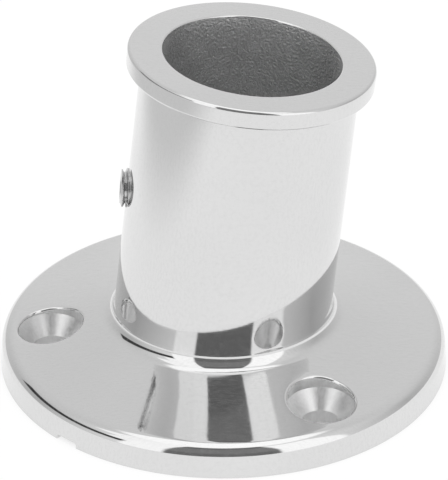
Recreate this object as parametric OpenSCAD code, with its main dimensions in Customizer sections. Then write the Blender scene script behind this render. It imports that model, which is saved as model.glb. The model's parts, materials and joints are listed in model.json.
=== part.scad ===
// Deck flange with a leaning clamp socket for a round tube.
// One polished casting: a round base with a dished top, a thin socket that leans
// over it and a collar round the socket's mouth. A grub screw in the socket's
// side bites on the tube. The deck plane is z = 0 and the socket leans to +X.

/* [Base flange] */
// Diameter of the base flange at the deck
base_d = 70; // [64:1:90]
// Height of the side wall, below its rounded top edge
wall_h = 3.1; // [2.5:0.1:4]
// Draft of the side wall in degrees
wall_draft = 5; // [0:0.5:8]
// Radius of the rounded top edge
edge_r = 2.2; // [1:0.1:3]
// Slope of the dished top at its rounded edge, in degrees
edge_slope = 5; // [3:0.5:7]
// Slope of the dished top at the foot of the socket, in degrees
foot_slope = 15; // [11:0.5:17]

/* [Hollow underside] */
// Thickness of the cast skin over the hollow underside
skin_t = 3; // [2:0.1:4]
// Width of the flat ring that seats on the deck
seat_w = 4.5; // [3:0.1:7]
// Radius in the corner between the seat ring and the hollow
core_r = 1; // [0.5:0.1:1.2]
// Diameter of the solid boss round each screw hole
boss_d = 13; // [12:0.1:15]

/* [Screw holes] */
// How many screw holes
screw_count = 3; // [3:1:4]
// Distance from the base's edge to the centre of a screw hole
screw_inset = 8; // [7:0.1:10]
// Diameter of the screw hole
screw_d = 5.6; // [4:0.1:6.5]
// Diameter of the countersink at the top
sink_d = 10.2; // [9:0.1:11]
// Angle of the countersink's cone in degrees
sink_angle = 80; // [75:1:100]
// Depth of the short straight wall above the cone
sink_wall = 1; // [0.2:0.1:1.2]

/* [Drain slot] */
// Width of the drain slot in the seat ring
drain_w = 4; // [2:0.1:8]
// Height of the drain slot
drain_h = 0.8; // [0.6:0.1:2]
// Radius of the slot's two top corners
drain_r = 0.4; // [0.2:0.1:0.5]
// Where the slot is, in degrees round from the lean
drain_at = 225; // [200:1:280]

/* [Socket] */
// Lean of the socket from upright in degrees
lean = 5.9; // [1:0.1:9]
// Height of the middle of the socket's mouth above the deck
mouth_h = 51.9; // [45:0.1:80]
// Inside diameter of the socket
bore_d = 26.9; // [20:0.1:30]
// Wall of the socket where it meets the base
wall_foot = 3.4; // [2.5:0.05:5]
// Wall of the socket under the collar
wall_top = 3; // [2.5:0.05:4]
// Radius of the fillet between the socket and the base
foot_r = 2.5; // [1:0.1:4]
// Chamfer inside the mouth
mouth_chamfer = 0.25; // [0.1:0.05:1]

/* [Collar] */
// How far the collar stands out from the socket
collar_out = 2.2; // [1:0.1:4]
// Height of the collar
collar_h = 3; // [2:0.1:5]
// Radius of the collar's two outer edges
collar_r = 0.5; // [0.2:0.1:0.9]

/* [Grub screw] */
// Thread diameter of the grub screw
grub_d = 6; // [4:1:8]
// Length of the grub screw
grub_l = 4; // [3:0.5:4.5]
// How far the grub screw stands out of the socket's side
grub_out = 1; // [0.5:0.1:2]
// Distance from the mouth down to the grub screw, along the socket
grub_drop = 23.8; // [12:0.1:30]
// Width across flats of the hexagon socket
key_w = 3; // [2:0.5:3.5]
// Depth of the hexagon socket
key_depth = 1.8; // [1:0.1:2]
// Chamfer at the ends of the grub screw
grub_chamfer = 0.3; // [0.2:0.1:0.8]
// Width of the flat land round the cup at the grub screw's inner end
cup_land = 1; // [0.5:0.1:1]
// Angle of the cup's cone in degrees
cup_angle = 120; // [90:5:140]
// Play between the grub screw and its tapped hole
grub_play = 0; // [0:0.01:0.05]

/* [Hidden] */
$fn = 96;
over = 2;
// How far the arc of a rounded edge or fillet passes the faces that it joins
pass = 0.01;
// Facets of the large circles whose arcs are the dished top and the ceiling
dish_facets = 720;
base_r = base_d / 2;
bore_r = bore_d / 2;
steel = [0.80, 0.80, 0.79];
dark_steel = [0.55, 0.55, 0.55];

// The rounded edge is an arc that touches the side wall and the dished top
wall_top_x = base_r - wall_h * tan(wall_draft);
edge_x = wall_top_x - edge_r * cos(wall_draft);
edge_z = wall_h - edge_r * sin(wall_draft);
slope_x = edge_x + edge_r * sin(edge_slope);
slope_z = edge_z + edge_r * cos(edge_slope);

// The fillet is an arc that touches the dished top and the upright socket
foot_outer_r = bore_r + wall_foot;
foot_x = foot_outer_r + foot_r;
foot_slope_x = foot_x - foot_r * sin(foot_slope);

// The dished top is an arc from the rounded edge to the fillet, with its
// centre high above the base
dish_r = (slope_x - foot_slope_x) / (sin(foot_slope) - sin(edge_slope));
dish_x = slope_x + dish_r * sin(edge_slope);
dish_z = slope_z + dish_r * cos(edge_slope);
function below_dish(x, depth) = dish_z - sqrt(pow(dish_r + depth, 2) - pow(dish_x - x, 2));
function top_z(x) = below_dish(x, 0);
foot_z = top_z(foot_slope_x) + foot_r * cos(foot_slope);

// The hollow's ceiling has the same centre as the top
core_x = base_r - seat_w;
core_edge_x = core_x - core_r;
core_edge_z = below_dish(core_edge_x, skin_t + core_r);
ceiling_x = core_edge_x + core_r * (dish_x - core_edge_x) / (dish_r + skin_t + core_r);

// The socket leans from a point level with the top of the fillet, and its
// lengths are counted from there
socket_l = (mouth_h - foot_z) / cos(lean);
socket_start_z = (foot_z - foot_r) / 2;
socket_buried = foot_z;
neck_outer_r = bore_r + wall_top;
collar_outer_r = neck_outer_r + collar_out;
collar_z = socket_l - collar_h;
in_collar_z = collar_z + collar_h / 2;
function socket_r(s) = foot_outer_r + (neck_outer_r - foot_outer_r) * s / collar_z;

screw_r = base_r - screw_inset;
sink_r = sink_d / 2;
sink_cone_h = (sink_d - screw_d) / 2 / tan(sink_angle / 2);
sink_top_z = top_z(screw_r);

grub_s = socket_l - grub_drop;
grub_end = socket_r(grub_s) + grub_out;
tapped_start = bore_r - grub_d;
tapped_l = grub_d + wall_foot + over;
cup_d = grub_d - 2 * (grub_chamfer + cup_land);
cup_depth = cup_d / 2 / tan(cup_angle / 2);

module on_socket() {
    translate([0, 0, foot_z]) rotate([0, lean, 0]) children();
}

module at_screws() {
    for (i = [0 : screw_count - 1])
        rotate(180 + i * 360 / screw_count) translate([screw_r, 0, 0]) children();
}

// Points away from the lean, square to the socket's axis
module at_grub() {
    on_socket() translate([0, 0, grub_s]) rotate([0, -90, 0]) children();
}

// Everything above the dished top, or above a face at some depth under it
module dish_circle(depth) {
    translate([dish_x, dish_z]) circle(r = dish_r + depth, $fn = dish_facets);
}

// Half section of the base and its fillet, from the base's axis to its edge
module base_section() {
    polygon([[0, 0], [base_r, 0], [wall_top_x, wall_h], [0, wall_h]]);
    translate([edge_x, edge_z]) circle(r = edge_r + pass);
    difference() {
        square([slope_x, foot_z]);
        dish_circle(0);
    }
    difference() {
        translate([0, wall_h]) square([foot_slope_x, foot_z - wall_h]);
        translate([foot_x, foot_z]) circle(r = foot_r + pass);
    }
}

// Half section of the hollow under the base
module core_section() {
    translate([0, -over]) square([core_x, core_edge_z + over]);
    translate([core_edge_x, core_edge_z]) circle(r = core_r + pass);
    difference() {
        square([ceiling_x, top_z(bore_r)]);
        dish_circle(skin_t);
    }
}

module hollow() {
    difference() {
        rotate_extrude() core_section();
        at_screws() cylinder(h = foot_z, d = boss_d);
    }
}

// Half section of a ring with both outer corners rounded
module collar_section() {
    square([collar_outer_r - collar_r, collar_h]);
    translate([0, collar_r]) square([collar_outer_r, collar_h - 2 * collar_r]);
    for (z = [collar_r, collar_h - collar_r])
        translate([collar_outer_r - collar_r, z]) circle(r = collar_r);
}

// The socket starts on a level inside the base, so none of it reaches the deck
module socket_outside() {
    difference() {
        on_socket() translate([0, 0, -socket_buried]) cylinder(
            h = in_collar_z + socket_buried,
            r1 = socket_r(-socket_buried), r2 = socket_r(in_collar_z)
        );
        translate([0, 0, -foot_z]) cylinder(h = foot_z + socket_start_z, r = base_r);
    }
    on_socket() translate([0, 0, collar_z]) rotate_extrude() collar_section();
}

module socket_bore() {
    on_socket() {
        translate([0, 0, -socket_l]) cylinder(h = socket_l * 2 + over, r = bore_r);
        translate([0, 0, socket_l - mouth_chamfer])
            cylinder(h = mouth_chamfer + over, r1 = bore_r, r2 = bore_r + mouth_chamfer + over);
    }
}

module screw_hole() {
    translate([0, 0, -over]) cylinder(h = foot_z + over, d = screw_d);
    translate([0, 0, sink_top_z - sink_wall - sink_cone_h])
        cylinder(h = sink_cone_h, d1 = screw_d, d2 = sink_d);
    translate([0, 0, sink_top_z - sink_wall]) cylinder(h = foot_z, r = sink_r);
}

module drain_slot() {
    rotate(drain_at) translate([core_x - core_r * 2, 0, 0]) rotate([90, 0, 90])
        linear_extrude(seat_w + core_r * 2 + over) {
            translate([-drain_w / 2, -over]) square([drain_w, drain_h - drain_r + over]);
            translate([drain_r - drain_w / 2, 0]) square([drain_w - drain_r * 2, drain_h]);
            for (side = [-1, 1])
                translate([side * (drain_w / 2 - drain_r), drain_h - drain_r]) circle(r = drain_r);
        }
}

module flange_casting() {
    color(steel) difference() {
        union() {
            rotate_extrude() base_section();
            socket_outside();
        }
        hollow();
        socket_bore();
        at_screws() screw_hole();
        drain_slot();
        at_grub() translate([0, 0, tapped_start]) cylinder(h = tapped_l, d = grub_d + grub_play * 2);
    }
}

module grub_screw() {
    color(dark_steel) at_grub() translate([0, 0, grub_end - grub_l]) difference() {
        union() {
            cylinder(h = grub_chamfer, d1 = grub_d - grub_chamfer * 2, d2 = grub_d);
            translate([0, 0, grub_chamfer]) cylinder(h = grub_l - grub_chamfer * 2, d = grub_d);
            translate([0, 0, grub_l - grub_chamfer])
                cylinder(h = grub_chamfer, d1 = grub_d, d2 = grub_d - grub_chamfer * 2);
        }
        translate([0, 0, -cup_depth]) cylinder(h = cup_depth * 2, d1 = cup_d * 2, d2 = 0);
        translate([0, 0, grub_l - key_depth])
            cylinder(h = key_depth + over, d = key_w / cos(30), $fn = 6);
    }
}

flange_casting();
grub_screw();
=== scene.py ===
# %% [markdown]
# A polished deck flange for a round tube: one casting with a dished base, a
# leaning socket with a collar, three countersunk screw holes and a small grub
# screw that clamps the tube. The CAD model is the fixed frame. This lesson
# puts a finely curved skin with real finishes over it, lights it in a white
# tent and sets the camera.

# %% Load the frame
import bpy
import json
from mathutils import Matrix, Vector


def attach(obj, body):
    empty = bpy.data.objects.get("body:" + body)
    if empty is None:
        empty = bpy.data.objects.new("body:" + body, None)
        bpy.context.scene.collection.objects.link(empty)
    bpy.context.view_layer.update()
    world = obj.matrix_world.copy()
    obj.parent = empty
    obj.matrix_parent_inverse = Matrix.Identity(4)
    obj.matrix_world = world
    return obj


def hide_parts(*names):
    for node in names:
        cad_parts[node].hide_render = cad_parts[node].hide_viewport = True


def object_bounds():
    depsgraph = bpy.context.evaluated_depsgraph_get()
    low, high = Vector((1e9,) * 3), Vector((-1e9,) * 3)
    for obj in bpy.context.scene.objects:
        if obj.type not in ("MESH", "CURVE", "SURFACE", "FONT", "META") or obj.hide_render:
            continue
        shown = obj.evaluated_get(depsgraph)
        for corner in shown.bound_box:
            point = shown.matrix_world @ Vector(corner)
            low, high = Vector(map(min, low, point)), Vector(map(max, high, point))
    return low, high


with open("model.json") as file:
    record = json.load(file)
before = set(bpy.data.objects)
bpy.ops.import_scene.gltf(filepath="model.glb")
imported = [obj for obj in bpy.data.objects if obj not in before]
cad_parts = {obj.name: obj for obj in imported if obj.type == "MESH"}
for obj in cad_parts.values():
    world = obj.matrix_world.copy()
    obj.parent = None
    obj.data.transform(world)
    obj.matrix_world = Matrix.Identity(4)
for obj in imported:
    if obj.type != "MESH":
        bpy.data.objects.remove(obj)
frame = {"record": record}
cad_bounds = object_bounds()
print("the CAD model's box, in metres:", cad_bounds)

# %% Tools for the lesson
import json
import math

import bmesh
import bpy
import numpy as np
from mathutils import Vector, geometry

# %% [markdown]
# The record that comes with the frame says where a tube and the deck screws
# go, so the lean, the bore and the screw circle are read from it. The other
# sizes are the casting's own, in millimetres, as one would measure them with
# calipers. Everything else is worked out from these few numbers.

# %% Sizes from the frame, in millimetres
MM = 0.001
mounts = {mount["name"]: mount for mount in frame["record"]["mounts"]}
socket_axis = Vector(mounts["tube_socket"]["axis"])
LEAN = math.atan2(socket_axis.x, socket_axis.z)
BORE_R = mounts["tube_socket"]["dims"]["r_mm"]
SCREW_RING_R = mounts["screw_circle"]["dims"]["pcd_mm"] / 2
SCREW_R = mounts["screw_circle"]["dims"]["hole_r_mm"]
SCREW_COUNT = mounts["screw_circle"]["dims"]["count"]
BASE_R = -cad_bounds[0][0] / MM
print("base radius", round(BASE_R, 2), "bore radius", BORE_R, "lean", round(math.degrees(LEAN), 2))

# %% Sizes of the casting, in millimetres and degrees
WALL_H = 3.1
WALL_DRAFT = math.radians(5)
EDGE_R = 2.2
EDGE_SLOPE = math.radians(5)
FOOT_SLOPE = math.radians(15)
SKIN_T = 3
SEAT_W = 4.5
CORE_R = 1
BOSS_R = 6.5
SINK_R = 5.1
SINK_ANGLE = math.radians(80)
SINK_WALL = 1
SINK_LIP_R = 0.4
DRAIN_W = 4
DRAIN_H = 0.8
DRAIN_R = 0.4
DRAIN_AT = math.radians(225)
MOUTH_H = 51.9
WALL_FOOT = 3.4
WALL_TOP = 3
FOOT_R = 2.5
COLLAR_OUT = 2.2
COLLAR_H = 3
COLLAR_R = 0.5
COVE_R = 0.5
MOUTH_R = 0.25
GRUB_R = 3
GRUB_L = 4
GRUB_OUT = 1.0
GRUB_DROP = 23.8
GRUB_CHAMFER = 0.3
KEY_W = 3
KEY_DEPTH = 1.8
CUP_LAND = 1
CUP_ANGLE = math.radians(120)

# %% [markdown]
# The base is turned about the deck's normal: a drafted side wall, a rounded
# edge and a dished top, an arc that grows steeper towards the socket. The
# socket is turned about its own axis, which leans out of the middle of the
# base. These two small coordinate systems carry the whole casting.

# %% Base profile
wall_top_x = BASE_R - WALL_H * math.tan(WALL_DRAFT)
edge_x = wall_top_x - EDGE_R * math.cos(WALL_DRAFT)
edge_z = WALL_H - EDGE_R * math.sin(WALL_DRAFT)
slope_x = edge_x + EDGE_R * math.sin(EDGE_SLOPE)
slope_z = edge_z + EDGE_R * math.cos(EDGE_SLOPE)
foot_outer_r = BORE_R + WALL_FOOT
foot_slope_x = foot_outer_r + FOOT_R - FOOT_R * math.sin(FOOT_SLOPE)
dish_r = (slope_x - foot_slope_x) / (math.sin(FOOT_SLOPE) - math.sin(EDGE_SLOPE))
dish_x = slope_x + dish_r * math.sin(EDGE_SLOPE)
dish_z = slope_z + dish_r * math.cos(EDGE_SLOPE)


def below_dish(radius, depth):
    """Height of a face at some depth under the dished top."""
    return dish_z - np.sqrt((dish_r + depth) ** 2 - (dish_x - radius) ** 2)


def top_z(radius):
    """Height of the base's top at a distance from its axis."""
    return below_dish(radius, 0)


def top_slope(radius):
    """Slope of the base's top at a distance from its axis."""
    return np.arcsin((dish_x - radius) / dish_r)


print("the top rises from", round(slope_z, 2), "to", round(float(top_z(foot_slope_x)), 2))

# %% [markdown]
# The socket's lengths are counted along its leaning axis, from the level of
# the fillet's top. Its wall tapers a little from the foot to the collar.

# %% Socket frame
neck_outer_r = BORE_R + WALL_TOP
collar_outer_r = neck_outer_r + COLLAR_OUT
foot_z = float(top_z(foot_slope_x)) + FOOT_R * math.cos(FOOT_SLOPE)
socket_l = (MOUTH_H - foot_z) / math.cos(LEAN)
collar_s = socket_l - COLLAR_H
TAPER = math.atan2(foot_outer_r - neck_outer_r, collar_s)
along = np.array([math.sin(LEAN), 0, math.cos(LEAN)])
across = np.array([math.cos(LEAN), 0, -math.sin(LEAN)])
sideways = np.array([0, 1, 0])
crossing = np.array([0, 0, foot_z])


def socket_r(s):
    """Outer radius of the socket at a distance along its axis."""
    return foot_outer_r - s * math.tan(TAPER)


def outward(turn):
    """Unit vectors square to the socket's axis, one for each angle."""
    return np.outer(np.cos(turn), across) + np.outer(np.sin(turn), sideways)


def on_socket(radius, s, turn):
    """Points of the socket from radius, distance along the axis and angle."""
    radius = np.broadcast_to(radius, turn.shape)
    s = np.broadcast_to(s, turn.shape)
    return crossing + np.outer(s, along) + radius[:, None] * outward(turn)


def on_base(radius, z, turn):
    """Points turned about the base's axis."""
    radius = np.broadcast_to(radius, turn.shape)
    return np.column_stack([radius * np.cos(turn), radius * np.sin(turn), np.broadcast_to(z, turn.shape)])


print("socket length", round(socket_l, 2), "from the crossing of the axes at", round(foot_z, 2))

# %% [markdown]
# Polished metal shows every flaw in a mesh, because the picture in it bends
# with the surface. So the skin is built from closed rings of points, joined
# ring to ring with quads, and it has far more columns than its outline needs.
# Each strip remembers its finish: polished, rough as cast, or machined.

# %% A skin made of rings
COLUMNS = 384
ARC_STEPS = 14
SMALL_STEPS = 6
POLISHED = 0
AS_CAST = 1
MACHINED = 2
finishes = [bpy.data.materials.new(name) for name in ("mirror_polish", "cast_skin", "machined_steel")]
turns = np.linspace(0, 2 * math.pi, COLUMNS, endpoint=False)


class Skin:
    """Collects points in millimetres, and faces with their finishes."""

    def __init__(self):
        self.points = []
        self.faces = []
        self.finishes = []

    def ring(self, points):
        """Adds a closed ring and returns the numbers of its points."""
        first = len(self.points)
        self.points.extend(points)
        return np.arange(first, first + len(points))

    def strip(self, rings, finish):
        """Joins each ring to the next one with quads."""
        for one, other in zip(rings[:-1], rings[1:]):
            for a, b, c, d in zip(one, np.roll(one, -1), np.roll(other, -1), other):
                self.faces.append((int(a), int(b), int(c), int(d)))
                self.finishes.append(finish)

    def cap(self, ring, finish):
        """Closes a ring with one face."""
        self.faces.append(tuple(int(i) for i in ring))
        self.finishes.append(finish)

    def build(self, name):
        """Makes the mesh object, in metres, with its faces turned outwards."""
        mesh = bpy.data.meshes.new(name)
        mesh.from_pydata([tuple(p) for p in np.array(self.points) * MM], [], self.faces)
        for finish in finishes:
            mesh.materials.append(finish)
        mesh.polygons.foreach_set("material_index", self.finishes)
        work = bmesh.new()
        work.from_mesh(mesh)
        bmesh.ops.remove_doubles(work, verts=work.verts, dist=1e-7)
        bmesh.ops.recalc_face_normals(work, faces=work.faces)
        work.to_mesh(mesh)
        work.free()
        obj = bpy.data.objects.new(name, mesh)
        bpy.context.scene.collection.objects.link(obj)
        return obj


def arc(start, end, steps=ARC_STEPS):
    """Angles from start to end, both included."""
    return np.linspace(start, end, steps + 1)


casting = Skin()
print("columns round the casting:", COLUMNS)

# %% [markdown]
# The foot of the socket is a fillet: the surface a ball leaves when it rolls
# round the corner, touching base and socket at once. Since the socket leans,
# the ball rides higher behind it than in front. For each column the ball's
# centre is found by halving a bracket, and the fillet is the part of the ball
# between its two touching points.

# %% Rolling ball fillet
BRACKET = 8.0
HALVINGS = 50
FILLET_STEPS = 20
tube_normal = math.cos(TAPER) * outward(turns) + math.sin(TAPER) * along


def ball_centre(s):
    """Centre of a ball that touches the socket, one for each column."""
    return on_socket(socket_r(s) + FOOT_R / math.cos(TAPER), s, turns)


def ball_clearance(s):
    """How far the ball is above the height at which it touches the base."""
    centre = ball_centre(s)
    reach = np.hypot(centre[:, 0], centre[:, 1])
    return dish_r - FOOT_R - np.hypot(dish_x - reach, dish_z - centre[:, 2])


low = np.full(COLUMNS, -BRACKET)
high = np.full(COLUMNS, BRACKET)
for halving in range(HALVINGS):
    middle = (low + high) / 2
    above = ball_clearance(middle) > 0
    high = np.where(above, middle, high)
    low = np.where(above, low, middle)
ball_s = (low + high) / 2
ball = ball_centre(ball_s)
ball_turn = np.arctan2(ball[:, 1], ball[:, 0])
ball_slope = np.arctan2(dish_x - np.hypot(ball[:, 0], ball[:, 1]), dish_z - ball[:, 2])
base_normal = on_base(np.sin(ball_slope), np.cos(ball_slope), ball_turn)
opening = np.arccos(np.sum(base_normal * tube_normal, axis=1))


def fillet_ring(share):
    """Ring of the fillet, from 0 on the base to 1 on the socket."""
    from_base = (np.sin((1 - share) * opening) / np.sin(opening))[:, None]
    from_tube = (np.sin(share * opening) / np.sin(opening))[:, None]
    return ball - FOOT_R * (from_base * base_normal + from_tube * tube_normal)


fillet_rings = [casting.ring(fillet_ring(share)) for share in arc(0, 1, FILLET_STEPS)]
casting.strip(fillet_rings, POLISHED)
foot_ring = fillet_rings[0]
fillet_top_s = ball_s - FOOT_R * math.sin(TAPER)
print("the fillet meets the socket from s", round(fillet_top_s.min(), 2), "to", round(fillet_top_s.max(), 2))

# %% [markdown]
# Above the fillet the socket is a plain cone of a fraction of a degree, then
# comes the collar: a small cove and a flat underside, a rounded lower edge, a
# side wall, a rounded upper edge and the flat rim. The cove is only the metal
# that the mould leaves in that corner. Inside, a broken edge leads into the
# bore, which was left as it came from the mould.

# %% Socket, collar and bore
TUBE_ROWS = 28
BORE_ROWS = 24


def socket_rings(profile):
    """Rings of the socket for a list of (radius, distance along the axis)."""
    return [casting.ring(on_socket(radius, s, turns)) for radius, s in profile]


tube_rings = [fillet_rings[-1]]
for share in np.linspace(0, 1, TUBE_ROWS + 1)[1:]:
    s = fillet_top_s + (collar_s - COVE_R - fillet_top_s) * share
    tube_rings.append(casting.ring(on_socket(socket_r(s), s, turns)))
round_x = collar_outer_r - COLLAR_R
cove = [
    (neck_outer_r + COVE_R * (1 - math.cos(a)), collar_s - COVE_R * (1 - math.sin(a)))
    for a in arc(0, math.pi / 2)
]
lower_edge = [
    (round_x + COLLAR_R * math.sin(a), collar_s + COLLAR_R * (1 - math.cos(a)))
    for a in arc(0, math.pi / 2)
]
upper_edge = [(r, collar_s + socket_l - s) for r, s in reversed(lower_edge)]
mouth_edge = [
    (BORE_R + MOUTH_R * (1 - math.sin(a)), socket_l - MOUTH_R * (1 - math.cos(a)))
    for a in arc(0, math.pi / 2, SMALL_STEPS)
]
rim_middle = (mouth_edge[0][0] + round_x) / 2
collar_rings = socket_rings(cove[1:] + lower_edge + upper_edge + [(rim_middle, socket_l)] + mouth_edge)
casting.strip(tube_rings + collar_rings, POLISHED)
bore_end_s = (BORE_R * math.sin(LEAN) * np.cos(turns) - foot_z) / math.cos(LEAN)
mouth_s = mouth_edge[-1][1]
bore_rings = [collar_rings[-1]]
for share in np.linspace(0, 1, BORE_ROWS + 1)[1:]:
    bore_rings.append(casting.ring(on_socket(BORE_R, mouth_s + (bore_end_s - mouth_s) * share, turns)))
casting.strip(bore_rings, AS_CAST)
print("socket and bore rings:", len(tube_rings) + len(collar_rings) + len(bore_rings))

# %% [markdown]
# The screw holes are countersunk after polishing, so each has a softly broken
# lip, a short straight wall, a machined cone and the plain hole. The lip lies
# on the sloping top, so its arc starts at a different height on each side.

# %% Countersunk screw holes
HOLE_COLUMNS = 120
LIP_STEPS = 6
hole_turns = np.linspace(0, 2 * math.pi, HOLE_COLUMNS, endpoint=False)
hole_places = [math.pi + 2 * math.pi * i / SCREW_COUNT for i in range(SCREW_COUNT)]
hole_centres = [(SCREW_RING_R * math.cos(a), SCREW_RING_R * math.sin(a)) for a in hole_places]
sink_wall_z = float(top_z(SCREW_RING_R)) - SINK_WALL
sink_cone_h = (SINK_R - SCREW_R) / math.tan(SINK_ANGLE / 2)


def round_hole(centre, radius, z):
    """Ring of points round a screw hole's axis."""
    points = on_base(radius, z, hole_turns)
    points[:, 0] += centre[0]
    points[:, 1] += centre[1]
    return points


def lip_rings(centre):
    """Rings of the rounded lip, from the sloping top to the straight wall."""
    middle = round_hole(centre, SINK_R + SINK_LIP_R, 0)
    reach = np.hypot(middle[:, 0], middle[:, 1])
    toward = (middle[:, 0] * np.cos(hole_turns) + middle[:, 1] * np.sin(hole_turns)) / reach
    slope = -np.tan(top_slope(reach)) * toward
    middle_z = top_z(reach) - SINK_LIP_R * np.sqrt(1 + slope**2)
    start = math.pi / 2 + np.arctan(slope)
    rings = []
    for share in np.linspace(0, 1, LIP_STEPS + 1):
        angle = start + (math.pi - start) * share
        radius = SINK_R + SINK_LIP_R + SINK_LIP_R * np.cos(angle)
        rings.append(round_hole(centre, radius, middle_z + SINK_LIP_R * np.sin(angle)))
    return rings


lips = []
hole_ends = []
for centre in hole_centres:
    lip = [casting.ring(points) for points in lip_rings(centre)]
    casting.strip(lip, POLISHED)
    cone_top = casting.ring(round_hole(centre, SINK_R, sink_wall_z))
    cone_end = casting.ring(round_hole(centre, SCREW_R, sink_wall_z - sink_cone_h))
    hole_end = casting.ring(round_hole(centre, SCREW_R, 0))
    casting.strip([lip[-1], cone_top, cone_end, hole_end], MACHINED)
    lips.append(lip[0])
    hole_ends.append(hole_end)
print("countersinks:", len(lips), "each", round(sink_cone_h, 2), "mm deep in the cone")

# %% [markdown]
# The base's top has to join a big circle outside, the fillet's foot inside
# and three lips. A constrained Delaunay triangulation does that in plan: it
# keeps the given rings as edges, and rings of points between them keep the
# triangles small enough for a clean reflection. Triangles inside a hole are
# dropped.

# %% Base, top and seat
RING_GAP = 1.0
KEEP_OFF = 0.5
EDGE_STEPS = 24
base_edge = [(BASE_R, 0)]
base_edge += [
    (edge_x + EDGE_R * math.cos(a), edge_z + EDGE_R * math.sin(a))
    for a in arc(WALL_DRAFT, math.pi / 2 - EDGE_SLOPE, EDGE_STEPS)
]
edge_rings = [casting.ring(on_base(radius, z, turns)) for radius, z in base_edge]
casting.strip(edge_rings, POLISHED)


def inside(ring, points):
    """Which of the points lie inside a ring, in plan."""
    x, y = points[:, 0, None], points[:, 1, None]
    x0, y0 = ring[:, 0], ring[:, 1]
    x1, y1 = np.roll(x0, -1), np.roll(y0, -1)
    straddles = (y0 > y) != (y1 > y)
    rise = np.where(y1 == y0, 1, y1 - y0)
    crosses = straddles & (x < x0 + (y - y0) * (x1 - x0) / rise)
    return np.count_nonzero(crosses, axis=1) % 2 == 1


def sheet(skin, outer, holes, height, finish):
    """Fills the plan between an outer ring and some holes with triangles."""
    rings = [np.array([skin.points[i] for i in ring])[:, :2] for ring in [outer] + holes]
    grid = []
    for radius in np.arange(BORE_R, BASE_R, RING_GAP):
        grid.append(on_base(radius, 0, turns)[:, :2])
    grid = np.vstack(grid)
    keep = inside(rings[0] * (1 - KEEP_OFF / BASE_R), grid)
    for ring in rings[1:]:
        middle = ring.mean(axis=0)
        size = np.linalg.norm(ring - middle, axis=1).mean()
        keep &= ~inside(middle + (ring - middle) * (1 + KEEP_OFF / size), grid)
    plan = [Vector(p) for ring in rings for p in ring] + [Vector(p) for p in grid[keep]]
    edges = []
    first = 0
    for ring in rings:
        count = len(ring)
        edges += [(first + i, first + (i + 1) % count) for i in range(count)]
        first += count
    found = geometry.delaunay_2d_cdt(plan, edges, [], 0, 1e-6)
    corners = np.array([(p.x, p.y) for p in found[0]])
    faces = np.array([tuple(face) for face in found[2]])
    middles = corners[faces].mean(axis=1)
    real = inside(rings[0], middles)
    for ring in rings[1:]:
        real &= ~inside(ring, middles)
    numbers = skin.ring(np.column_stack([corners, height(np.hypot(corners[:, 0], corners[:, 1]))]))
    for face in faces[real]:
        skin.faces.append(tuple(int(numbers[i]) for i in face))
        skin.finishes.append(finish)
    return int(real.sum())


top_count = sheet(casting, edge_rings[-1], [foot_ring] + lips, top_z, POLISHED)
seat_count = sheet(casting, edge_rings[0], [bore_rings[-1]] + hole_ends, np.zeros_like, AS_CAST)
print("triangles in the top:", top_count, "and in the seat:", seat_count)

# %% [markdown]
# Underneath, the casting is cored out so that it is about equally thick all
# over, with solid bosses left round the screws. A drain slot crosses the seat
# ring, and a tapped hole crosses the socket's wall. These are cuts, as they
# are in the mould and on the drill, so they are made with boolean differences
# on closed meshes.

# %% Cutting tools
OVER = 2
CORE_COLUMNS = 192
CEILING_STEPS = 16
CORE_STEPS = 8
core_turns = np.linspace(0, 2 * math.pi, CORE_COLUMNS, endpoint=False)


def bake_modifiers(obj):
    """Turns the modifiers of an object into its mesh."""
    shaped = obj.evaluated_get(bpy.context.evaluated_depsgraph_get())
    mesh = bpy.data.meshes.new_from_object(shaped)
    obj.modifiers.clear()
    obj.data = mesh


def carve(target, cutter):
    """Cuts one closed mesh out of another and removes the cutter."""
    cut = target.modifiers.new("carve", "BOOLEAN")
    cut.operation = "DIFFERENCE"
    cut.solver = "MANIFOLD"
    cut.object = cutter
    bake_modifiers(target)
    bpy.data.objects.remove(cutter)


def bar(name, rings, finish):
    """A closed mesh from rings, with both ends capped."""
    skin = Skin()
    numbered = [skin.ring(points) for points in rings]
    skin.strip(numbered, finish)
    skin.cap(numbered[0], finish)
    skin.cap(numbered[-1], finish)
    return skin.build(name)


print("columns in the core:", CORE_COLUMNS)

# %% Cored recess
core_x = BASE_R - SEAT_W
core_edge_x = core_x - CORE_R
core_edge_z = float(below_dish(core_edge_x, SKIN_T + CORE_R))
ceiling_slope = math.asin((dish_x - core_edge_x) / (dish_r + SKIN_T + CORE_R))
core_profile = [(core_x, -OVER)]
core_profile += [
    (core_edge_x + CORE_R * math.cos(a), core_edge_z + CORE_R * math.sin(a))
    for a in arc(0, math.pi / 2 - ceiling_slope, CORE_STEPS)
]
ceiling_x = core_profile[-1][0]
core_profile += [
    (x, float(below_dish(x, SKIN_T)))
    for x in np.linspace(ceiling_x, BORE_R / 2, CEILING_STEPS + 1)[1:]
]
core = bar("core", [on_base(radius, z, core_turns) for radius, z in core_profile], AS_CAST)
for centre in hole_centres:
    boss = bar("boss", [round_hole(centre, BOSS_R, z) for z in (-OVER * 2, foot_z)], AS_CAST)
    carve(core, boss)
print("core faces:", len(core.data.polygons))

# %% [markdown]
# Water that gets into the socket has to run out, so a small slot with rounded
# top corners crosses the seat ring.

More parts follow.
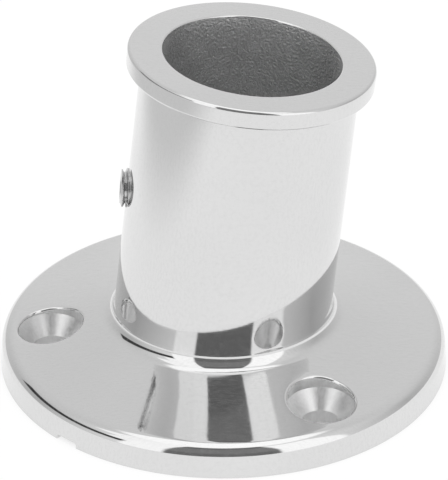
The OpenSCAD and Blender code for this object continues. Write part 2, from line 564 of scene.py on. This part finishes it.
# %% Drain slot
half_w = DRAIN_W / 2 - DRAIN_R
drain_outline = [(-DRAIN_W / 2, -OVER), (DRAIN_W / 2, -OVER)]
drain_outline += [
    (half_w + DRAIN_R * math.cos(a), DRAIN_H - DRAIN_R + DRAIN_R * math.sin(a))
    for a in arc(0, math.pi / 2, SMALL_STEPS)
]
drain_outline += [(-y, z) for y, z in reversed(drain_outline[2:])]
outwards = np.array([math.cos(DRAIN_AT), math.sin(DRAIN_AT), 0])
beside = np.array([-math.sin(DRAIN_AT), math.cos(DRAIN_AT), 0])
drain_rings = []
for reach in (core_x - CORE_R * 2, BASE_R + OVER):
    drain_rings.append([outwards * reach + beside * y + np.array([0, 0, z]) for y, z in drain_outline])
drain = bar("drain", drain_rings, AS_CAST)
print("drain slot outline points:", len(drain_outline))

# %% [markdown]
# The tapped hole is square to the leaning socket. It is a trace wider than the
# screw, so that the two surfaces don't lie in each other.

# %% Tapped hole
TAPPED_PLAY = 0.04
grub_s = socket_l - GRUB_DROP
grub_end = socket_r(grub_s) + GRUB_OUT
GRUB_COLUMNS = 144
grub_turns = np.linspace(0, 2 * math.pi, GRUB_COLUMNS, endpoint=False)


def on_grub(radius, p, turn):
    """Points round the grub screw's axis, p out from the socket's axis."""
    radius = np.broadcast_to(radius, turn.shape)[:, None]
    round_it = np.outer(np.cos(turn), along) + np.outer(np.sin(turn), sideways)
    middle = crossing + grub_s * along - np.broadcast_to(p, turn.shape)[:, None] * across
    return middle + radius * round_it


tapped_ends = (BORE_R - GRUB_R * 2, foot_outer_r + OVER)
tapped = bar("tapped", [on_grub(GRUB_R + TAPPED_PLAY, p, grub_turns) for p in tapped_ends], MACHINED)
print("the grub screw stands", GRUB_OUT, "mm out at s", round(grub_s, 2))

# %% [markdown]
# The rings are closed into one mesh, the three cutters take their share away,
# and the shading is smoothed wherever the metal itself has no sharp edge.

# %% Close and cut the casting
SHARP_OVER = math.radians(28)


def smooth(obj):
    """Smooth shading that stays crisp at real edges and true on flat faces."""
    obj.data.polygons.foreach_set("use_smooth", [True] * len(obj.data.polygons))
    obj.data.set_sharp_from_angle(angle=SHARP_OVER)
    even = obj.modifiers.new("even", "WEIGHTED_NORMAL")
    even.keep_sharp = True
    bake_modifiers(obj)


def open_edges(obj):
    """How many edges of a mesh don't join exactly two faces."""
    work = bmesh.new()
    work.from_mesh(obj.data)
    count = sum(1 for edge in work.edges if not edge.is_manifold)
    work.free()
    return count


flange = casting.build("flange")
for cutter in (core, drain, tapped):
    carve(flange, cutter)
smooth(flange)
print("flange faces:", len(flange.data.polygons), "open edges:", open_edges(flange))

# %% [markdown]
# The grub screw is short, with a fine thread to its ends. A thread is a
# radius that depends on how far along and how far round a point is, so one
# grid of points round the axis gives the helix, and the end chamfers are just
# a smaller radius where the two meet. The thread's corners are rounded, as a
# rolled thread's are, so that the grid doesn't show as steps. The hexagon for
# the key is a ring whose radius follows the six flats, and the inner end is a
# shallow cup whose rim bites on the tube.

# %% Grub screw
PITCH = 1.0
THREAD_DEPTH = 0.6
CREST = 0.14
ROOT = 0.22
THREAD_ROWS = 160
KEY_LEAD = 0.15
CUP_POINT_R = 0.02


def thread_r(p, turn):
    """Radius of the thread at a distance along and an angle round."""
    phase = (p / PITCH + turn / (2 * math.pi)) % 1
    from_crest = np.abs(phase - 0.5) * 2
    dip = np.clip((1 - from_crest - CREST) / (1 - CREST - ROOT), 0, 1)
    return GRUB_R - THREAD_DEPTH * dip * dip * (3 - 2 * dip)


def key_r(turn, across_flats):
    """Radius of a hexagon at an angle round."""
    sixth = math.pi / 3
    return across_flats / 2 / np.cos((turn + sixth / 2) % sixth - sixth / 2)


screw = Skin()
screw_rows = []
for depth in np.linspace(0, GRUB_L, THREAD_ROWS + 1):
    from_end = min(depth, GRUB_L - depth)
    row_r = np.minimum(thread_r(depth, grub_turns), GRUB_R - GRUB_CHAMFER + from_end)
    screw_rows.append(screw.ring(on_grub(row_r, grub_end - depth, grub_turns)))
key_mouth = screw.ring(on_grub(key_r(grub_turns, KEY_W + KEY_LEAD * 2), grub_end, grub_turns))
key_lead = screw.ring(on_grub(key_r(grub_turns, KEY_W), grub_end - KEY_LEAD, grub_turns))
key_floor = screw.ring(on_grub(key_r(grub_turns, KEY_W), grub_end - KEY_DEPTH, grub_turns))
cup_r = GRUB_R - GRUB_CHAMFER - CUP_LAND
cup_depth = cup_r / math.tan(CUP_ANGLE / 2)
point_depth = cup_depth * (1 - CUP_POINT_R / cup_r)
cup_edge = screw.ring(on_grub(cup_r, grub_end - GRUB_L, grub_turns))
cup_point = screw.ring(on_grub(CUP_POINT_R, grub_end - GRUB_L + point_depth, grub_turns))
screw.strip([key_floor, key_lead, key_mouth] + screw_rows + [cup_edge, cup_point], POLISHED)
screw.cap(key_floor, POLISHED)
screw.cap(cup_point, POLISHED)
clamp_screw = screw.build("clamp_screw")
smooth(clamp_screw)
print("clamp screw faces:", len(clamp_screw.data.polygons), "open edges:", open_edges(clamp_screw))

# %% [markdown]
# Nodes are easier to read as one line each. This helper adds a node to a
# material, sets or links its inputs by name and returns it.

# %% A short way to wire nodes
def add_node(tree, kind, inputs=None, **settings):
    """Adds a node, applies its settings, and sets or links its inputs."""
    made = tree.nodes.new("ShaderNode" + kind)
    for name, value in settings.items():
        setattr(made, name, value)
    for name, value in (inputs or {}).items():
        if isinstance(value, bpy.types.NodeSocket):
            tree.links.new(value, made.inputs[name])
        else:
            made.inputs[name].default_value = value
    return made


def start_material(material):
    """Empties a material's nodes and returns its tree and its position in mm."""
    material.use_nodes = True
    tree = material.node_tree
    tree.nodes.clear()
    place = add_node(tree, "TexCoord").outputs["Object"]
    in_mm = add_node(tree, "VectorMath", {0: place, "Scale": 1 / MM}, operation="SCALE")
    return tree, in_mm.outputs[0]


def ramp(tree, factor, stops):
    """A grey ramp from (position, value) stops."""
    made = add_node(tree, "ValToRGB", {"Fac": factor})
    while len(made.color_ramp.elements) < len(stops):
        made.color_ramp.elements.new(1)
    for element, (position, value) in zip(made.color_ramp.elements, stops):
        element.position = position
        element.color = (value, value, value, 1)
    return made.outputs["Color"]


def finish_material(tree, shader):
    """Wires a shader to the material's output."""
    output = add_node(tree, "OutputMaterial")
    tree.links.new(shader.outputs[0], output.inputs["Surface"])


print("finishes:", [finish.name for finish in finishes])

# %% [markdown]
# Mirror-polished stainless steel is almost a mirror, so its looks come from
# what it reflects. What keeps it from looking like glass is a very slight
# waviness left by the hand-held belt, fine polishing lines and a few pits of
# the casting that the wheel opened. Where the belt's marks lie close, the steel
# scatters a little light, which shows as a faint haze in dark reflections.

# %% Polished steel
PITS_PER_MM = 0.16
PIT_R = 0.1125


def noise(tree, place, scale, detail=2.0, stretch=None):
    """Noise with its scale in features per millimetre."""
    if stretch:
        place = add_node(tree, "VectorMath", {0: place, 1: stretch}, operation="MULTIPLY").outputs[0]
    return add_node(tree, "TexNoise", {"Vector": place, "Scale": scale, "Detail": detail}).outputs[0]


def bump(tree, height, depth_mm, normal=None):
    """A bump whose depth is given in millimetres."""
    inputs = {"Height": height, "Strength": 1.0, "Distance": depth_mm * MM}
    if normal:
        inputs["Normal"] = normal
    return add_node(tree, "Bump", inputs).outputs["Normal"]


tree, place = start_material(finishes[POLISHED])
waviness = noise(tree, place, 0.12)
polish_lines = noise(tree, place, 1.5, 3.0, (0.35, 0.35, 4.0))
pits = add_node(tree, "TexVoronoi", {"Vector": place, "Scale": PITS_PER_MM})
pit_range = {"Value": pits.outputs["Distance"], "From Min": 0.0, "From Max": PIT_R * PITS_PER_MM}
pit_shape = add_node(tree, "MapRange", pit_range)
ripples = noise(tree, place, 0.4)
belt_marks = noise(tree, place, 2.4, 3.0, (0.4, 2.0, 0.5))
normal = bump(tree, waviness, 0.01)
normal = bump(tree, ripples, 0.001, normal)
normal = bump(tree, polish_lines, 0.0004, normal)
normal = bump(tree, pit_shape.outputs[0], 0.01, normal)
roughness = ramp(tree, polish_lines, [(0.3, 0.035), (0.7, 0.075)])
shader = add_node(tree, "BsdfPrincipled", {
    "Base Color": ramp(tree, noise(tree, place, 0.05), [(0.35, 0.72), (0.65, 0.74)]),
    "Metallic": ramp(tree, belt_marks, [(0.42, 1.0), (0.72, 0.92)]),
    "Roughness": roughness,
    "Normal": normal,
})
finish_material(tree, shader)
print("polished steel nodes:", len(tree.nodes))

# %% [markdown]
# The bore and the underside were never polished. Their skin took the grain of
# the mould, so it is a dull grey that breaks up the light.

# %% Cast skin
tree, place = start_material(finishes[AS_CAST])
grain = noise(tree, place, 2.6, 5.0)
blotches = noise(tree, place, 0.25)
normal = bump(tree, grain, 0.15)
shader = add_node(tree, "BsdfPrincipled", {
    "Base Color": ramp(tree, blotches, [(0.3, 0.77), (0.7, 0.89)]),
    "Metallic": 1.0,
    "Roughness": ramp(tree, grain, [(0.3, 0.32), (0.7, 0.5)]),
    "Normal": normal,
})
finish_material(tree, shader)
print("cast skin nodes:", len(tree.nodes))

# %% [markdown]
# The countersinks were cut after polishing. A cutter leaves fine marks, so
# this steel is brighter than the cast skin but doesn't mirror.

# %% Machined steel
tree, place = start_material(finishes[MACHINED])
marks = noise(tree, place, 3.0, 3.0, (1.0, 1.0, 0.3))
shader = add_node(tree, "BsdfPrincipled", {
    "Base Color": ramp(tree, marks, [(0.3, 0.78), (0.7, 0.86)]),
    "Metallic": 1.0,
    "Roughness": ramp(tree, marks, [(0.3, 0.3), (0.7, 0.45)]),
    "Normal": bump(tree, marks, 0.004),
})
finish_material(tree, shader)
print("machined steel nodes:", len(tree.nodes))

# %% [markdown]
# The grub screw is bought in. Its steel is plain and a little darker than the
# polished casting beside it.

# %% Screw steel
screw_steel = bpy.data.materials.new("plain_screw_steel")
tree, place = start_material(screw_steel)
marks = noise(tree, place, 5.0, 3.0)
shader = add_node(tree, "BsdfPrincipled", {
    "Base Color": ramp(tree, marks, [(0.3, 0.56), (0.7, 0.68)]),
    "Metallic": 1.0,
    "Roughness": ramp(tree, marks, [(0.3, 0.18), (0.7, 0.28)]),
    "Normal": bump(tree, marks, 0.0006),
})
finish_material(tree, shader)
clamp_screw.data.materials.clear()
clamp_screw.data.materials.append(screw_steel)
clamp_screw.data.polygons.foreach_set("material_index", [0] * len(clamp_screw.data.polygons))
print("screw steel nodes:", len(tree.nodes))

# %% [markdown]
# Each piece stands for its CAD node, which is hidden, and rides on the part's
# one body.

# %% Tie the pieces to the frame
for piece, node, finish_name in (
    (flange, "flange_casting", "polished_steel"),
    (clamp_screw, "grub_screw", "screw_steel"),
):
    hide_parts(node)
    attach(piece, "root")
print("pieces:", flange.name, clamp_screw.name)

# %% [markdown]
# A mirror shows the room, so the room is part of the finish. The flange
# stands on a white sheet in a white tent. The tent has a dark gap at the
# front, where the camera looks in, a bright panel on each side of it and
# greyer walls. One dome carries all of it: how bright it is in a direction
# is worked out from soft-edged patches and kept on its points.

# %% Light tent
TENT_R = 1.15
TENT_COLUMNS = 360
TENT_ROWS = 180
VIEW_AZIMUTH = -2.65
# The wall's brightness in front, at the side and at the back, level with the
# flange and higher up. Azimuths are degrees from the camera, the same on both
# sides of it.
FRONT_AT = 50
SIDE_AT = 100
BACK_AT = 180
LOW_FRONT, LOW_SIDE, LOW_BACK = 0.9, 0.52, 0.85
HIGH_FRONT, HIGH_SIDE, HIGH_BACK = 0.9, 0.72, 0.77
# Each patch is (from azimuth, to azimuth, from height, to height, brightness,
# softness of its edges), in degrees.
tent_patches = [
    (-181, 181, 66, 95, 1.3, 5),
    (-80, -28, 46, 66, 1.2, 4),
    (-62, -28, 30, 66, 1.2, 4),
    (-50, -28, -20, 66, 1.25, 3),
    (27, 60, -20, 60, 1.28, 4),
    (-118, -50, 18, 30, 0.05, 2),
    (-28, 27, -8, 65, 0.17, 2),
    (-28, 27, 22, 54, 0.23, 4),
]


def soft_step(low, high, value):
    """0 below low, 1 above high, and smooth between them."""
    share = np.clip((value - low) / (high - low), 0, 1)
    return share * share * (3 - 2 * share)


def tent_brightness(azimuth, height):
    """Brightness of the tent in a direction, in degrees."""
    stations = [FRONT_AT, SIDE_AT, BACK_AT]
    low_wall = np.interp(np.abs(azimuth), stations, [LOW_FRONT, LOW_SIDE, LOW_BACK])
    high_wall = np.interp(np.abs(azimuth), stations, [HIGH_FRONT, HIGH_SIDE, HIGH_BACK])
    level = low_wall + (high_wall - low_wall) * soft_step(15, 45, height)
    for az_from, az_to, up_from, up_to, brightness, soft in tent_patches:
        cover = soft_step(az_from - soft / 2, az_from + soft / 2, azimuth)
        cover *= 1 - soft_step(az_to - soft / 2, az_to + soft / 2, azimuth)
        cover *= soft_step(up_from - soft / 2, up_from + soft / 2, height)
        cover *= 1 - soft_step(up_to - soft / 2, up_to + soft / 2, height)
        level += (brightness - level) * cover
    return level


def dome(name, radius, columns, rows):
    """A sphere of quads whose points know their brightness."""
    azimuths = np.linspace(0, 2 * math.pi, columns, endpoint=False)
    heights = np.linspace(-math.pi / 2, math.pi / 2, rows + 1)[1:-1]
    around, up = np.meshgrid(azimuths, heights)
    points = np.dstack([np.cos(up) * np.sin(around), -np.cos(up) * np.cos(around), np.sin(up)]) * radius
    skin_points = points.reshape(-1, 3)
    faces = []
    for row in range(len(heights) - 1):
        for column in range(columns):
            a = row * columns + column
            b = row * columns + (column + 1) % columns
            faces.append((a, b, b + columns, a + columns))
    faces.append(tuple(range(columns)))
    faces.append(tuple(range((len(heights) - 1) * columns, len(heights) * columns)))
    mesh = bpy.data.meshes.new(name)
    mesh.from_pydata([tuple(p) for p in skin_points], [], faces)
    from_camera = (np.degrees(around) - VIEW_AZIMUTH + 180) % 360 - 180
    level = tent_brightness(from_camera, np.degrees(up)).reshape(-1)
    glow = mesh.attributes.new("glow", "FLOAT", "POINT")
    glow.data.foreach_set("value", level.astype(np.float32))
    obj = bpy.data.objects.new(name, mesh)
    bpy.context.scene.collection.objects.link(obj)
    return obj


tent = dome("light_tent", TENT_R, TENT_COLUMNS, TENT_ROWS)
tent_cloth = bpy.data.materials.new("tent_cloth")
tent_cloth.use_nodes = True
tree = tent_cloth.node_tree
tree.nodes.clear()
glow = add_node(tree, "Attribute", attribute_name="glow")
cloth = add_node(tree, "Emission", {"Strength": glow.outputs["Fac"]})
finish_material(tree, cloth)
tent.data.materials.append(tent_cloth)
tent.visible_camera = False
tent.visible_shadow = False
print("tent brightness straight above:", float(tent_brightness(np.array([0.0]), np.array([85.0]))[0]))

# %% [markdown]
# The floor is a plain white sheet. To the camera and in the metal it is kept
# near pure white by some glow of its own, and the rest of it is ordinary
# paper, so the flange still casts its soft shadow. Under the flange, where no
# light reaches, the glow is left out. Far to the left the glow is painted
# darker, a painted shade that turns the sheet a little grey. That is out of
# the picture, but the metal's left side mirrors this painted shade.

# %% Floor and world
FLOOR_GLOW = 0.9
SHEET_LIGHT = 1.04
# Painted shade: the floor's glow is made darker from DIM_FROM_X to DIM_TO_X, down to DIM_LEFT.
DIM_FROM_X = -65
DIM_TO_X = -130
DIM_LEFT = 0.72
PAPER_WHITE = 0.9
ROOM_LIGHT = 0.8
SHADE_OUT = 1


def is_seen(tree):
    """1 for rays from the camera, from metal or through glass, otherwise 0."""
    path = add_node(tree, "LightPath")
    rays = [path.outputs[name] for name in ("Is Camera Ray", "Is Glossy Ray", "Is Transmission Ray")]
    two = add_node(tree, "Math", {0: rays[0], 1: rays[1]}, operation="MAXIMUM").outputs[0]
    return add_node(tree, "Math", {0: two, 1: rays[2]}, operation="MAXIMUM").outputs[0]


floor_mesh = bpy.data.meshes.new("floor")
rim = [(TENT_R * math.cos(a), TENT_R * math.sin(a), 0) for a in core_turns]
floor_mesh.from_pydata(rim, [], [tuple(range(CORE_COLUMNS))])
floor = bpy.data.objects.new("floor", floor_mesh)
bpy.context.scene.collection.objects.link(floor)
paper = bpy.data.materials.new("white_paper")
tree, place = start_material(paper)
from_middle = add_node(tree, "VectorMath", {0: place}, operation="LENGTH").outputs["Value"]
beyond = add_node(
    tree, "MapRange",
    {"Value": from_middle, "From Min": core_x, "From Max": BASE_R + SHADE_OUT},
    interpolation_type="SMOOTHSTEP",
)
seen = add_node(tree, "Math", {0: is_seen(tree), 1: beyond.outputs[0]}, operation="MULTIPLY")
glow_share = add_node(tree, "Math", {0: seen.outputs[0], 1: FLOOR_GLOW}, operation="MULTIPLY")
matt = add_node(tree, "BsdfDiffuse", {"Color": (PAPER_WHITE, PAPER_WHITE, PAPER_WHITE, 1)})
across_floor = add_node(tree, "SeparateXYZ", {0: place}).outputs["X"]
# Painted shade: the glow falls from SHEET_LIGHT to DIM_LEFT towards the left of the sheet.
glow_with_painted_shade_range = {
    "Value": across_floor,
    "From Min": DIM_TO_X,
    "From Max": DIM_FROM_X,
    "To Min": DIM_LEFT,
    "To Max": SHEET_LIGHT,
}
glow_with_painted_shade = add_node(tree, "MapRange", glow_with_painted_shade_range, interpolation_type="SMOOTHSTEP")
bright = add_node(tree, "Emission", {"Strength": glow_with_painted_shade.outputs[0]})
mixed = add_node(tree, "MixShader", {0: glow_share.outputs[0], 1: matt.outputs[0], 2: bright.outputs[0]})
finish_material(tree, mixed)
floor_mesh.materials.append(paper)
world = bpy.data.worlds.new("white_room")
bpy.context.scene.world = world
world.use_nodes = True
tree = world.node_tree
tree.nodes.clear()
level = add_node(tree, "MapRange", {"Value": is_seen(tree), "To Min": ROOM_LIGHT, "To Max": 1.0})
sky = add_node(tree, "Background", {"Strength": level.outputs[0]})
output = add_node(tree, "OutputWorld")
tree.links.new(sky.outputs[0], output.inputs["Surface"])
print("floor radius, in metres:", TENT_R)

# %% [markdown]
# The camera stands where the photograph's did: in front, a little to the left
# and about thirty degrees up, with a long lens. Those few numbers came from
# matching the rim, the bore, the screw holes and the base's edge.

# %% Camera
VIEW_HEIGHT = 29.81
VIEW_DISTANCE = 0.4375
VIEW_TARGET = Vector((0.00007, 0, 0.020335))
FOCAL_LENGTH = 213.0
camera_data = bpy.data.cameras.new("camera")
camera_data.lens = FOCAL_LENGTH
camera = bpy.data.objects.new("camera", camera_data)
azimuth = math.radians(VIEW_AZIMUTH)
height = math.radians(VIEW_HEIGHT)
back = Vector((math.sin(azimuth) * math.cos(height), -math.cos(azimuth) * math.cos(height), math.sin(height)))
camera.location = VIEW_TARGET + back * VIEW_DISTANCE
camera.rotation_euler = back.to_track_quat("Z", "Y").to_euler()
bpy.context.scene.collection.objects.link(camera)
bpy.context.scene.camera = camera
print("camera at", [round(c, 4) for c in camera.location])

# %% [markdown]
# Last, the picture is set to the standard view transform.

# %% Picture settings
bpy.context.scene.view_settings.view_transform = "Standard"
bpy.context.view_layer.update()
